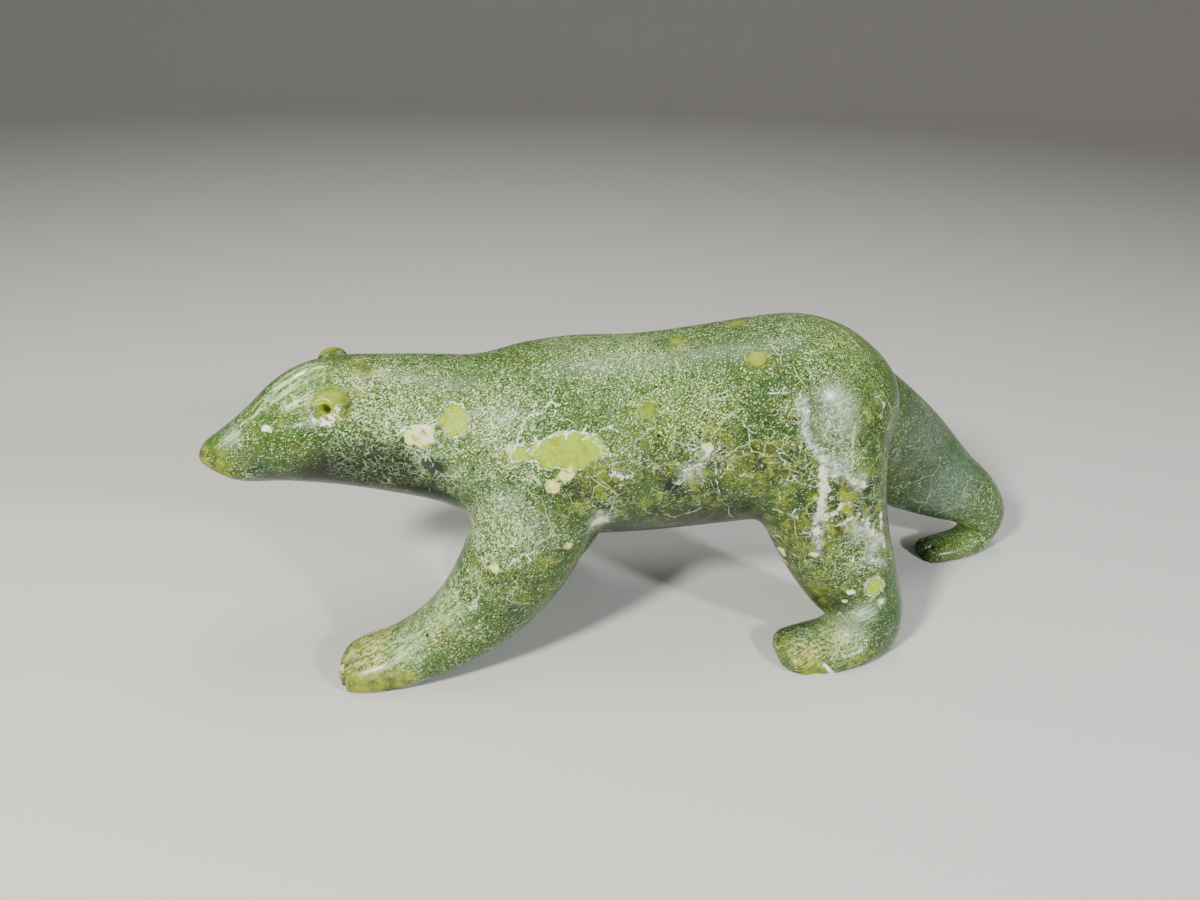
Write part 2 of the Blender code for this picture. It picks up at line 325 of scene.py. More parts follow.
# each ear: its middle, the way it faces, how far it stands off the head and half its length
ears = (
    {"place": (-112.9, -15.6, 101.2), "out": (-0.34, -0.86, 0.38), "height": 4.0, "long": 5.9},
    {"place": (-115.8, 15.2, 103.4), "out": (-0.26, 0.70, 0.66), "height": 4.2, "long": 5.2},
)
earShape = {
    "reach": 9.8,          # of the skin that is reworked
    "fade": 2.5,           # width of its blend into the rest
    "deep": 10,            # skin further off than this belongs to another part of the head
    "headFrom": 6.6,       # beyond this the head's own form is read
    "tall": 5.6,           # half height of the rounded lobe
    "blunt": 0.45,         # 1 is a soft mound, less has steeper sides
    "openBelow": 4.6,      # the lobe runs out this far below the middle,
    "openOver": 4.2,       # thinning over this height
    "bowlRadius": 3.7,     # hollowed round the hole, which leaves a thick rim above and behind
    "bowlDepth": 2.1,
    "bowlForward": 0.8,
    "bowlDown": 1.5,
    "holeRadius": 1.6,
    "holeEdge": 0.5,
    "holeDepth": 3.0,
}


def carveEar(bear, ear):
    s = earShape
    middle = np.array(ear["place"], float)
    out = np.array(ear["out"], float)
    out /= np.linalg.norm(out)
    forward = np.array((-1.0, 0, 0)) + out * out[0]
    forward /= np.linalg.norm(forward)
    upward = np.cross(forward, out)
    upward *= math.copysign(1, upward[2])
    points = pointsOf(bear)
    offset = points - middle
    ahead, above, height = offset @ forward, offset @ upward, offset @ out
    radius = np.hypot(ahead, above)
    near = (radius < s["reach"]) & (np.abs(height) < s["deep"])
    # the skin under the ear, as a smooth sheet through the edge of the reworked area
    edge = (radius > s["headFrom"]) & near

    def terms(a, b):
        return np.stack([np.ones_like(a), a, b, a * a, a * b, b * b], 1)

    sheet = np.linalg.lstsq(terms(ahead[edge], above[edge]), height[edge], rcond=None)[0]
    a, b, r = ahead[near], above[near], radius[near]
    base = terms(a, b) @ sheet
    inside = np.clip(1 - (a / ear["long"]) ** 2 - (b / s["tall"]) ** 2, 0, 1)
    lobe = ear["height"] * inside ** s["blunt"] * np.clip((b + s["openBelow"]) / s["openOver"], 0, 1)
    hollow = np.hypot(a - s["bowlForward"], b + s["bowlDown"])
    bowl = s["bowlDepth"] * nearness(hollow, s["bowlRadius"])
    drill = s["holeDepth"] * np.clip((s["holeRadius"] - hollow) / s["holeEdge"], 0, 1)
    blend = np.clip((s["reach"] - r) / s["fade"], 0, 1)
    points[near] += ((base + lobe - bowl - drill - height[near]) * blend)[:, None] * out
    movePoints(bear, points)


def groove(bear, path, width, depth):
    # a cut along a path when depth is above 0, a ridge when it is below
    points = pointsOf(bear)
    points -= normalsOf(bear) * (depth * nearness(distanceToPath(points, path), width))[:, None]
    points[:, 2] = np.maximum(points[:, 2], 0)
    movePoints(bear, points)


# the mouth line on each cheek, and the pair of fine ridges from the nose to the crown
faceLines = {
    "mouth": ((-155.8, -8.2, 76.0), (-151.4, -10.6, 74.9), (-146.3, -12.6, 75.4), (-141.3, -14.6, 77.0),
              (-136.6, -16.6, 79.5)),
    "mouthRight": ((-155.8, 5.1, 76.0), (-151.4, 7.5, 74.9), (-146.3, 9.5, 75.4), (-141.3, 11.5, 77.0),
                   (-136.6, 13.5, 79.5)),
    "mouthWidth": 0.9,
    "mouthDepth": 0.8,
    "brow": ((-142.9, -7.8, 91.1), (-135.8, -7.0, 98.3), (-130.5, -5.6, 102.4), (-125.0, -3.8, 106.2),
             (-118.5, -2.6, 108.4), (-112.0, -3.0, 108.6)),
    "browBelow": ((-139.4, -9.6, 93.4), (-134.4, -9.0, 97.8), (-129.0, -7.4, 102.2), (-123.0, -5.6, 106.0)),
    "browWidth": 1.1,
    "browHeight": 0.35,
}

# flats planed on the temples and the tip of the outer fore toe: middle, the way each faces, reach and depth
flats = (
    ((-121.0, -12.7, 101.0), (-0.29, -0.59, 0.76), 13.0, 0.55),
    ((-129.5, 9.8, 101.0), (-0.38, 0.53, 0.76), 13.0, 0.45),
    ((-116.0, -36.0, 4.0), (-0.90, -0.42, 0.12), 5.0, 0.3),
)


def planeFlat(bear, flat):
    place, facing, reach, depth = flat
    out = np.array(facing, float)
    out /= np.linalg.norm(out)
    points = pointsOf(bear)
    offset = points - np.array(place)
    height = offset @ out + depth
    near = (height > 0) & (np.linalg.norm(offset, axis=1) < reach)
    points[near] -= height[near][:, None] * out
    movePoints(bear, points)


# between the toes, over the top of the paw and down its front: path, width and depth
toeNotches = (
    (((-111.0, -32.6, 11.0), (-115.5, -33.2, 8.4), (-117.2, -33.4, 6.4), (-117.6, -33.4, 2.7),
      (-117.0, -33.4, 0)), 1.7, 1.3),
    (((-112.5, -27.3, 11.4), (-116.9, -27.2, 9.0), (-118.9, -27.2, 7.3), (-119.9, -27.2, 2.6),
      (-118.9, -27.2, 0)), 1.9, 1.8),
    (((-112.0, -20.2, 10.9), (-116.8, -20.4, 8.7), (-118.7, -20.4, 7.1), (-119.6, -20.4, 2.7),
      (-118.7, -20.4, 0)), 1.8, 1.5),
    (((-74.0, 25.2, 8.6), (-76.6, 25.4, 7.4), (-78.2, 25.4, 6.0), (-79.0, 25.4, 2.2),
      (-78.2, 25.4, 0)), 1.7, 1.4),
    (((-74.0, 30.4, 8.9), (-76.7, 30.4, 7.7), (-78.4, 30.4, 6.2), (-79.3, 30.4, 2.1),
      (-78.4, 30.4, 0)), 1.7, 1.4),
    (((-74.0, 35.5, 8.6), (-76.6, 35.3, 7.4), (-78.2, 35.3, 6.0), (-79.0, 35.3, 2.2),
      (-78.2, 35.3, 0)), 1.7, 1.4),
    (((125.0, 23.4, 6.5), (122.8, 23.3, 6.2), (121.3, 23.3, 4.9), (120.5, 23.3, 1.3),
      (121.3, 23.3, 0)), 1.6, 1.2),
    (((125.0, 29.0, 6.5), (122.8, 28.8, 6.2), (121.3, 28.8, 4.9), (120.5, 28.8, 1.3),
      (121.3, 28.8, 0)), 1.6, 1.2),
)

# small breaks along the bottom edges of the paws: path, width and depth
pawChips = (
    (((40.5, -42.4, 0.6), (46.0, -42.8, 1.4), (50.5, -42.9, 0.6)), 1.7, 0.7),
    (((52.5, -42.0, 4.4), (54.5, -42.6, 2.4), (56.0, -42.8, 0.2)), 1.2, 0.9),
    (((-104.0, -38.6, 1.0), (-98.0, -37.6, 0.6)), 1.3, 0.5),
    (((-118.4, -28.8, 2.2), (-118.8, -27.0, 3.4)), 1.2, 0.5),
)


def makeBear():
    bear = copyOfBear()
    s, face = stoneSettings, faceLines
    refine(bear, [spotAt(ear["place"]) for ear in ears], s["earReach"])
    for flat in flats:
        planeFlat(bear, flat)
    for ear in ears:
        carveEar(bear, ear)
    cuts = [(face[name], face["mouthWidth"], face["mouthDepth"]) for name in ("mouth", "mouthRight")]
    cuts += [(face[name], face["browWidth"], -face["browHeight"]) for name in ("brow", "browBelow")]
    cuts = [(onSkin(bear, path), width, depth) for path, width, depth in (*cuts, *toeNotches, *pawChips)]
    refine(bear, [path for path, width, depth in cuts], s["cutReach"])
    for path, width, depth in cuts:
        groove(bear, path, width, depth)
    # thin lines and small grains of the pattern need close points too
    drawn = [line for name in ("hair", "creamLine") for path, halfWidth in lines[name]
             for line in runsOf(bear, name, path)]
    drawn += [spotAt(place) for place, radii, grown in grains["creamGrain"]]
    refine(bear, drawn, s["lineReach"])
    pick(bear)
    bpy.ops.object.shade_smooth()
    faces = len(bear.data.polygons)
    print("bear carved", faces, "faces,", len(bear.data.loops) - 2 * faces, "triangles")
    return bear


# soft regions of the pattern, each made of clouds round a place: place, reach, share
clouds = {
    "frost": (  # fine white crystals
        ((-95, -10, 100), 45, 0.65), ((-60, -18, 92), 34, 0.7), ((-20, 0, 108), 60, 0.55),
        ((40, 0, 108), 50, 0.5), ((-85, -18, 85), 26, 0.6), ((-60, -28, 62), 26, 0.7),
        ((45, -28, 84), 22, 0.45), ((62, -30, 45), 20, 0.5), ((-60, 20, 80), 50, 0.6),
        ((60, 24, 75), 45, 0.5), ((140, 25, 25), 25, 0.35), ((-85, -32, 25), 26, 0.5),
        ((-105, -26, 12), 12, 0.45), ((60, -34, 10), 16, 0.5), ((-120, -8, 100), 16, 0.35),
        ((0, -22, 96), 30, 0.65), ((-125, -14, 88), 14, 0.45), ((-140, -8, 88), 12, 0.35),
        ((-110, -5, 105), 16, 0.6), ((-20, -24, 86), 20, 0.5),
    ),
    "breccia": (  # broken grains edged with hairlines
        ((0, -25, 78), 34, 1.0), ((55, -28, 60), 34, 1.0), ((28, -26, 82), 26, 1.0),
        ((-50, -30, 45), 26, 0.6), ((-30, -26, 72), 22, 0.9), ((0, 24, 76), 36, 0.8),
        ((85, 24, 60), 34, 0.6), ((-45, 26, 50), 28, 0.7), ((40, -20, 50), 30, 1.0),
        ((60, 0, 100), 26, 0.4), ((-66, -30, 46), 12, 0.5), ((60, -28, 88), 18, 0.6),
    ),
    "yellow": (  # clear yellow-green stone
        ((-110, -37, 3), 17, 1.05), ((-98, -38, 5), 13, 1.0), ((-104, -36, 9), 10, 0.7),
        ((48, -41, 1), 15, 1.05), ((66, -40, 3), 12, 0.7), ((38, -32, 5), 11, 0.8),
        ((-117, -28, 4), 9, 0.8), ((-150, -12, 78), 12, 0.85), ((-157, -7, 79), 9, 0.95),
        ((-143, -12, 82), 10, 0.5), ((-112.6, -16.0, 101.6), 11.0, 1.35), ((-116.0, 14.5, 106.0), 7, 1.3),
        ((-13, -20, 98), 12, 0.5), ((0, -24, 90), 10, 0.4), ((-103, -4, 108), 12, 0.9),
        ((-104, -12, 103), 6, 0.9), ((-60, 26, 3), 15, 0.8), ((137, 28, 2), 18, 0.3),
        ((155, 30, 22), 10, 0.4), ((52, -4, 113), 26, 0.4), ((-108, -27, 12), 16, 0.5),
        ((56, -35, 10), 16, 0.4), ((-112, -4, 106), 14, 0.4), ((-76, 30, 5), 10, 0.6),
        ((59, -37, 37), 8, 0.6), ((-13, -20, 98), 7, 1.1), ((-9, -22, 94.5), 5, 0.9),
        ((54, -25, 91), 6.5, 0.8), ((61, -22, 95), 6, 0.7), ((54, -31, 70), 5.5, 1.0),
        ((54, -32, 65), 4.5, 1.0), ((42, -30, 69), 4, 1.0), ((49, -33, 59), 4, 0.95),
        ((56, -34, 58), 5, 0.9), ((-35, -28, 68), 5, 0.95), ((40, -27, 50), 12, 0.65),
        ((34, -27, 65), 6, 0.7), ((-129, -15.5, 95), 3.5, 0.9), ((-122, -17, 88), 14, 0.35),
        ((48, -34, 38), 8, 0.5), ((-84, -34, 23), 10, 0.5), ((68, -29, 63), 4, 0.9),
        ((50, -33, 31), 15, 0.55), ((-1, 0, 113.5), 5, 1.35), ((23.5, -12.5, 111.5), 7, 1.4),
        ((21, 7, 117), 6, 1.3), ((-1, -6, 112), 5, 1.0), ((-55.5, -35, 37.5), 9, 0.6),
        ((-109, -24, 14), 16, 0.9), ((-58, -24.5, 84.5), 6, 1.0),
    ),
    "pale": (  # crystals too fine to tell apart
        ((-108, -27, 12), 16, 0.4), ((-98, -30, 13), 15, 0.5), ((60, -33, 11), 17, 0.5),
        ((-150, -6, 86), 12, 0.5), ((-20, 0, 116), 60, 0.45), ((-70, -12, 100), 40, 0.45),
        ((-85, -30, 25), 24, 0.25), ((-60, -32, 52), 26, 0.15), ((-120, -8, 104), 20, 0.6),
        ((60, 0, 116), 40, 0.35), ((50, -37, 7), 10, 0.3), ((-20, -22, 98), 34, 0.4),
        ((-137, -9, 93), 14, 0.4), ((137, 28, 6), 20, 0.5), ((43, -34, 9), 12, 0.3),
    ),
    "scuff": (  # fine scratches
        ((-127.0, -11.6, 98.7), 3.6, 1.0), ((-123.7, -11.3, 100.4), 4.2, 1.0),
        ((-120.0, -11.4, 101.8), 4.2, 0.9), ((-116.5, -11.8, 103.4), 3.6, 0.7), ((-84, -33, 32), 14, 0.5),
        ((66, -35, 24), 9, 0.6), ((58, -35, 11), 14, 0.6), ((52, -22, 100), 8, 0.4),
        # the three on the brow also paint the light streaks along its ridges: a painted highlight as well
        # as scratches
        ((-134, -8.5, 98.5), 5, 0.2), ((-128, -6.0, 103.2), 6, 0.25), ((-120, -4.2, 107.0), 7, 0.35),
        ((-146, -9.0, 87.5), 5, 0.4), ((-107, -27, 13), 16, 0.8), ((-96, -30, 14), 14, 0.6),
        ((-117, -29, 8), 7, 0.7), ((64, -37, 23), 6, 0.8), ((47, -36, 9), 12, 0.7),
    ),
    "lace": (  # threads of crystals
        ((-60, -30, 62), 32, 0.8), ((-75, -33, 40), 26, 0.8), ((-92, -33, 26), 20, 0.5),
        ((45, -24, 95), 26, 0.6), ((-30, -28, 66), 18, 0.5), ((60, -33, 50), 28, 0.5),
        ((0, -26, 80), 30, 0.3), ((-70, 30, 50), 35, 0.6), ((80, 28, 60), 35, 0.5),
        ((-80, -20, 86), 16, 0.8), ((-98, -18, 84), 24, 1.3), ((-78, -22, 74), 14, 0.9),
        ((30, -25, 92), 14, 0.5), ((54, -28, 80), 9, 0.9),
    ),
    "duskAndPaintedShade": (  # dark stone with few crystals, and painted shade under the throat, belly and lower muzzle and on the foreleg's back
        ((-112, -15, 73), 27, 1.25), ((-132, -12, 70), 16, 1.0), ((-86, -14, 68), 22, 1.0),
        ((-82, -21, 80), 7, 0.9), ((-5, -26, 73), 6, 0.9), ((10, -26, 72), 5, 0.7),
        ((-90, -12, 60), 30, 0.85), ((10, -10, 44), 42, 1.1), ((53, -32, 28), 15, 0.7),
        ((-5, 0, 113), 9, 0.5), ((-100, 0, 66), 26, 0.7), ((-20, -20, 50), 16, 0.8),
        ((110, 10, 60), 30, 0.35), ((-40, -20, 30), 20, 0.6), ((-97, -18, 78), 20, 1.2),
        ((-102, -19, 84), 15, 0.85), ((-60, -24, 36), 18, 0.95), ((-82, -25, 16), 16, 0.8),
        ((-72, -24, 26), 14, 0.8), ((-148, -9, 71), 12, 0.6), ((-82, -21, 74), 12, 0.7),
        ((20, -22, 60), 14, 0.8), ((-5, -22, 60), 14, 0.6),
    ),
    "haze": (  # milky stone
        ((-146, -9, 88), 7, 0.2), ((50, -29, 80), 8, 0.3), ((48, -26, 94), 12, 0.2),
        ((66, -34, 50), 5, 0.5), ((60, -33, 56), 7, 0.25), ((62, -36, 15), 9, 0.3),
        ((66, -38, 23), 6, 0.5), ((-28, -26, 58), 7, 0.5), ((-52, -32, 62), 12, 0.1),
        ((63, -34, 20), 7, 0.35), ((-60, -30, 70), 9, 0.1), ((58, -31, 74), 5, 0.5),
        ((71, -37, 28), 3, 0.6), ((1, -26, 77.5), 6, 0.35), ((6, -25.5, 84), 4, 0.4),
        ((106, 15, 70), 28, 0.13), ((122, 18, 40), 24, 0.13),
    ),
}

# grains with a crisp edge: place, radii, and how far the whole is grown
grains = {
    "yellowGrain": (
        ((-39, -24.5, 86.6), (11.8, 9, 6.0), 0.4), ((-75, -17, 95), (4.4, 5, 4.2), 0.4),
        ((68, -37, 34.5), (3.3, 4, 3.7), 0.4), ((-20, 25, 90), (8, 6, 6), 0.5),
        ((40, 27, 95), (5, 5, 6), 0.4), ((-88, 16, 98), (4, 4, 5), 0.5), ((110, 38, 50), (4, 4, 3), 0.3),
        ((-84, -19, 88), (1.6, 3, 1.6), 0), ((-55, -24.5, 86), (3.8, 4, 2.4), 0.3),
    ),
    "darkGrain": (
        ((-83.0, -20.5, 81.0), (3.4, 5, 2.8), 0), ((-80.5, -20.5, 78.5), (2.4, 5, 2.0), 0),
    ),
    "creamGrain": (
        ((-40.2, -27, 79.6), (3.0, 3, 2.5), 0.3), ((-44.6, -28.6, 76.0), (2.3, 3, 2.3), 0.3),
        ((-86, -19, 91), (4.6, 5, 3.0), 0.6), ((59, -37, 33), (1.6, 3, 1.0), 0.1),
        ((58, -37, 28.5), (1.1, 2.4, 0.8), 0.1), ((71, -38, 28.5), (1.4, 3, 1.6), 0.1),
        ((-28.4, -24, 58.7), (3.0, 3, 2.4), 0.4), ((45.4, -33, 47), (1.5, 3, 1.0), 0.1),
        ((6.4, -25, 86.3), (1.6, 3, 1.5), 0.1), ((-64, -33, 48), (1.8, 3, 1.6), 0.1),
        ((-67, -35, 37.5), (1.2, 3, 1.0), 0.1), ((-40, -31, 54), (1.3, 3, 1.2), 0.1),
        ((37, -24, 43), (1.3, 2, 1.6), 0.1), ((39, -24, 38), (1.1, 2, 1.5), 0.1),
        ((-117.5, -30.6, 7.4), (1.2, 1.5, 1.0), 0.1), ((-116.4, -34.4, 7.0), (1.4, 1.6, 0.8), 0.1),
        ((-30, 26, 66), (4, 3, 3), 0.6), ((75, 29, 60), (3, 4, 5), 0.6),
    ),
}

# lines drawn along the skin: a path and its half width
lines = {
    "vein": (  # chalky white, ragged
        (((44, -28, 83), (45, -30, 79)), 0.9), (((45, -30, 79), (46, -31, 71)), 1.6),
        (((46, -31, 71), (45, -32, 62)), 1.1), (((45, -32, 62), (45, -33, 55)), 0.6),
        (((47, -30, 76), (51, -30, 77), (56, -30.5, 74), (60, -30, 72)), 0.5),
        (((46, -32, 61), (50, -33, 63), (52, -32, 66)), 0.5),
        (((52, -33, 59), (55, -33, 61), (58, -33, 63), (63, -32, 60)), 0.3),
        (((61, -33, 60), (63, -33, 56), (66, -33, 54), (69, -31, 52)), 0.8),
        (((69, -30, 60), (69, -31, 53), (71, -32, 48)), 0.3), (((-86, -19, 91), (-80, -20, 88)), 0.3),
        (((7, -25, 86), (5, -26, 82)), 0.2),
        (((-64, -23.3, 84), (-59, -23.5, 87), (-57, -23.3, 89)), 0.1),
        (((-20, 18, 100), (-12, 22, 95), (-6, 22, 93), (2, 25, 85), (16, 26, 82), (24, 26, 74),
          (38, 28, 73)), 0.1),
        (((2, 25, 85), (4, 26, 78), (-2, 26, 72)), 0.0),
        (((70, 26, 84), (73, 27, 76), (80, 28, 70), (82, 28, 62)), 0.5),
        (((80, 28, 70), (90, 29, 66)), 0.1), (((82, 28, 62), (88, 30, 55), (90, 30, 48)), 0.2),
        (((-76, -34, 31), (-73, -34.5, 34), (-70, -35, 36)), 0.3),
    ),
    "hair": (  # hairlines, crooked
        # round the large yellow grain, and the crack above it
        (((-51, -25, 86), (-48, -24, 90), (-43, -23, 92), (-38, -23, 92.5), (-34, -23.5, 92),
          (-29, -25, 87)), 0.25),
        (((-58, -24, 83), (-57, -23, 87), (-54, -24, 88.5), (-51, -25, 86)), 0.2),
        (((-57, -24, 87), (-54, -22, 93), (-52, -20, 97), (-47, -19.5, 98.5), (-44, -18, 101)), 0.2),
        # hip
        (((36, -22, 103), (38, -24, 97), (37, -26, 92), (39, -27, 88), (44, -28, 84)), 0.16),
        (((26, -21, 103), (32, -21, 103)), 0.14), (((33, -25, 94), (37, -25, 94)), 0.09),
        (((29, -27, 85), (32, -27, 81), (35, -28, 76), (38, -29, 73), (43, -30, 72)), 0.11),
        (((36, -27, 82), (39, -28, 79), (43, -30, 76)), 0.11),
        (((31, -27, 73), (34, -28, 72.5), (36, -28, 74.5)), 0.09),
        (((65, -17, 99), (69, -16, 95), (67, -20, 92)), 0.14),
        (((44, -25, 95), (50, -26, 90), (54, -28, 84), (57, -29, 79)), 0.07),
        # thigh
        (((31, -25, 61), (34, -27, 61), (38, -30, 60), (39, -30, 62)), 0.14),
        (((38, -29, 53), (41, -31, 54.5), (45, -33, 55.5)), 0.09),
        (((45, -33, 55), (46, -33, 51), (45, -33, 47)), 0.09),
        (((47, -34, 46), (50, -35, 44), (53, -36, 43)), 0.11),
        (((57, -36, 46), (61, -36, 44), (63, -36.5, 42)), 0.14),
        (((60, -36, 46.5), (68, -35, 44), (73, -34, 40)), 0.11), (((58, -34, 55), (63, -34, 54)), 0.16),
        (((51, -35, 35), (55, -36, 35)), 0.09),
        (((65, -37, 38), (69, -37, 38.5), (71.5, -37, 35), (70, -37, 31), (66, -37, 31.5),
          (64.5, -37, 35), (65, -37, 38)), 0.09),
        # flank
        (((-28, -26, 66), (-20, -26, 68.5), (-18, -25, 65.5), (-13, -25, 67), (-7, -25, 68), (3, -26, 71),
          (8, -25, 68)), 0.02),
        (((12, -25, 65.5), (17, -25, 67), (20, -26, 68), (25, -25, 66), (29, -24.5, 62.5)), 0.02),
        (((-29, -25, 87), (-27, -26, 83), (-25, -26, 79)), 0.14),
        (((-2, -26, 78), (2, -26, 80), (6, -26, 81)), 0.18),
        (((3, -26, 79), (5, -26, 75), (6, -26, 72)), 0.14),
        (((-5, -26, 74), (-3, -26, 73), (-1, -26, 74), (-0.5, -26, 77)), 0.11),
        (((10, -25, 88), (9, -26, 81), (10, -26, 72), (12, -25, 68)), 0.14),
        (((-6, -24, 90), (-2, -25, 87.5), (3, -25, 84.5)), 0.09), (((12, -23, 95), (9, -24, 92)), 0.14),
        (((16, -24, 95), (20, -25, 91.5), (23, -25, 90.5)), 0.14),
        (((-29, -23, 93), (-24, -22, 94)), 0.16),
        (((-21, -25, 86), (-17, -24, 89), (-13, -23, 92)), 0.09),
        # neck
        (((-93, -18, 91), (-90, -18.5, 93.5), (-86, -18.5, 94.5), (-82.5, -19, 92.5)), 0.3),
        (((-92, -19, 88), (-88, -19.5, 86.5), (-85, -20, 85)), 0.2),
        (((-97, -17.5, 90), (-93, -18, 91)), 0.2),
        (((-84, -20, 85), (-82, -21, 78), (-79, -21.5, 75)), 0.1),
        (((-88, -19.5, 80), (-85, -20, 85)), 0.1),
        # foreleg
        (((-60, -34, 49), (-55, -33, 53), (-51, -33, 54.5)), 0.18),
        (((-72, -25, 51.5), (-70, -26, 54), (-67, -28, 56)), 0.14),
        (((-71, -27, 51), (-69, -29, 50.5), (-66, -31, 50)), 0.11),
        (((-60.5, -35, 39), (-60, -35, 36), (-57, -35, 34.5), (-53, -34, 34)), 0.11),
        (((-37, -29, 55.5), (-31, -24, 56)), 0.14),
        # the mouth's edge
        (((-148, -11, 75.6), (-142, -13.5, 77.6), (-137, -15.6, 79.6)), 0.07),
        # ankle
        (((54, -34, 23), (57.5, -35.5, 22.7), (60, -35.5, 20)), 0.14),
    ),
    "band": (  # milky edges of the veins
        (((37, -24, 101), (37.5, -26, 92), (41, -27, 86), (46, -29, 81), (50, -30, 77)), 0.6),
        (((45, -32, 62), (45, -33, 55), (46, -34, 48)), 0.4),
        (((58, -33, 58), (66, -33, 54), (70, -31, 49)), 0.5), (((63, -36, 46), (70, -34.5, 43)), 0.6),
        (((-28, -26, 62), (-29, -25, 58)), 0.3),
    ),
    "streakAndPaintedHighlight": (  # light streaks on the brow and snout: partly worn scratches, partly a painted highlight along the ridges
        (((-146, -8, 88), (-141, -8.5, 92), (-137, -9.7, 95.6), (-131.5, -7.4, 100.6)), 0.2),
        (((-138, -7, 96), (-133, -6, 100.8), (-128, -4.6, 104.2), (-122, -3.2, 107),
          (-115, -3, 108.7)), 0.3),
        (((-132, -9.5, 98.6), (-126, -7.6, 102.8), (-119, -6.4, 105.8), (-112, -6, 107)), 0.0),
        (((-132, -4, 102.5), (-125, -1.5, 106.5), (-116, 0, 109)), 0.0),
        (((-151, -9, 84), (-147, -9, 87.4), (-143, -9.4, 89.6)), 0.4),
    ),
    "flake": (  # white chips
        (((-134.0, -14.2, 93.1), (-131.8, -15, 92.9)), 0.8),
        (((-91.5, -18.5, 92.5), (-90.5, -18.5, 93)), 0.4),
        (((52.5, -42, 4.4), (54.5, -42.6, 2.4), (56.0, -42.8, 0.2)), 0.6),
        (((59, -37, 32.6), (60, -37, 32.8)), 0.5),
    ),
    "dust": (  # white powder in hollows
        (((-114.8, -18.3, 96.6), (-113.4, -18.6, 95.9), (-111.9, -18.2, 97.6)), 0.9),
        (((-24, -26, 78), (-19, -26, 77)), 0.6), (((-110.4, -17.5, 100.3), (-110.2, -17.6, 99.6)), 0.3),
    ),
    "creamLine": (  # thin cream lines
        (((48, 7, 119), (55, 3, 117), (59, -2, 115), (61.5, -6, 113)), 0.2),
        (((78, -8, 93), (74, -14, 89), (69, -20, 86), (68, -24, 78), (68, -26, 74)), 0.1),
        (((67.5, -27.5, 68), (68, -29, 63)), 0.1), (((40, -42, 1), (44, -43, 2.2), (50, -43, 1.2)), 0.3),
        (((-117, -34.6, 1), (-111, -37.4, 0.6), (-103, -38.6, 0.6)), 0.3),
    ),
}

fieldSettings = {
    "far": 20.0,           # mm, the value wherever no mark is near
    "facet": 0.93,         # keeps a six-sided grain about as large as its round one
}


def runsOf(bear, name, path):
    # hairlines run crooked, each in its own way, and all others as they are drawn
    if name == "hair":
        return crookedLines(bear, path, int(abs(path[0][0] * 7 + path[-1][2] * 13)))
    return [onSkin(bear, path)]


def paintFields(bear):
    # how much of each region, and how far outside each mark in mm, at every point of the skin
    s = fieldSettings
    points = pointsOf(bear)
    fields = {}
    for name, places in clouds.items():
        fields[name] = np.zeros(len(points))
        for place, reach, share in places:
            away = np.linalg.norm(points - np.array(place), axis=1)
            fields[name] = np.maximum(fields[name], share * nearness(away, reach))
    for name, places in grains.items():
        fields[name] = np.full(len(points), s["far"])
        for place, radii, grown in places:
            # a six-sided crystal seen from the side, each turned its own way
            along, across, high = ((points - np.array(place)) / np.array(radii)).T
            turn = np.arctan2(high, along) + place[0]
            side = np.cos((turn + np.pi / 6) % (np.pi / 3) - np.pi / 6)
            away = np.maximum(np.hypot(along, high) * side / s["facet"], np.abs(across)) - 1
            fields[name] = np.minimum(fields[name], away * float(np.mean(radii)) - grown)
    for name, paths in lines.items():
        fields[name] = np.full(len(points), s["far"])
        for path, halfWidth in paths:
            for line in runsOf(bear, name, path):
                fields[name] = np.minimum(fields[name], distanceToPath(points, line) - halfWidth)
    for name, values in fields.items():
        field = bear.data.attributes.new(name, "FLOAT", "POINT")
        field.data.foreach_set("value", np.asarray(values, np.float32))
    print("pattern fields stored")


# polished serpentine, filed, sanded and waxed: deep greens clouded with olive,
# frosted all over with fine white crystals and crossed by white veins
stoneColours = {
    "deepGreen": "#091007",
    "shardGreen": "#16241a",
    "leafGreen": "#2a4a10",
    "blueGreen": "#25451c",
    "olive": "#3c460c",
    "yellowGreen": "#748018",
    "limeGreen": "#8c9722",
    "paleGreen": "#68883c",
    "cream": "#dcd988",
    "frost": "#cfe6a8",
    "lemonGreen": "#94ae2a",
    "hairline": "#d9e4cc",
    "milk": "#c6d8d2",
    "chalk": "#e0d6c6",
    "white": "#e8ece2",
}

# sizes of its pattern in mm; the crystals are really finer, and are drawn as coarse as they need to show
stonePattern = {
    "coarseSway": (9.0, 9.0),  # size and amount of the push that makes large shapes ragged,
    "fineSway": (2.4, 2.6),    # and small ones
    "edgeSway": (4.0, 3.6),
    "ragged": 2.2,
    "bulge": 8.0,
    "tint": 34.0,          # clouds of bluer and yellower green
    "olive": 13.0,
    "mottle": 3.4,
    "grain": 8.0,          # broken grains, their own tints, and the dark between them
    "grainTint": 3.8,
    "gap": 6.0,
    "fade": 4.0,           # lengths of a grain's edge that come and go
    "fleck": 2.6,
    "rim": 6.0,
    "patch": 15.0,         # where crystals gather
    "crystal": 0.5,
    "crystalShape": (1.8, 1.0, 0.8),
    "pit": 1.1,
    "flicker": 3.0,
    "net": 2.2,            # the lace of threads
    "netBreak": 1.8,
    "thread": 4.2,
    "weave": 9.0,
    "glint": 0.6,
    "cloudy": 1.6,
    "scratch": 1.2,
    "scratchShape": (4.0, 1.0, 0.6),
    "streakAndPaintedHighlight": 2.0,
    "crack": 24.0,
    "crackBreak": 17.0,
    "dust": 1.1,
    "lineBreak": 2.6,
    "polish": 5.0,
    "sanding": 1.2,
    "slope": -35,          # degrees, the way crystals and scratches run
}

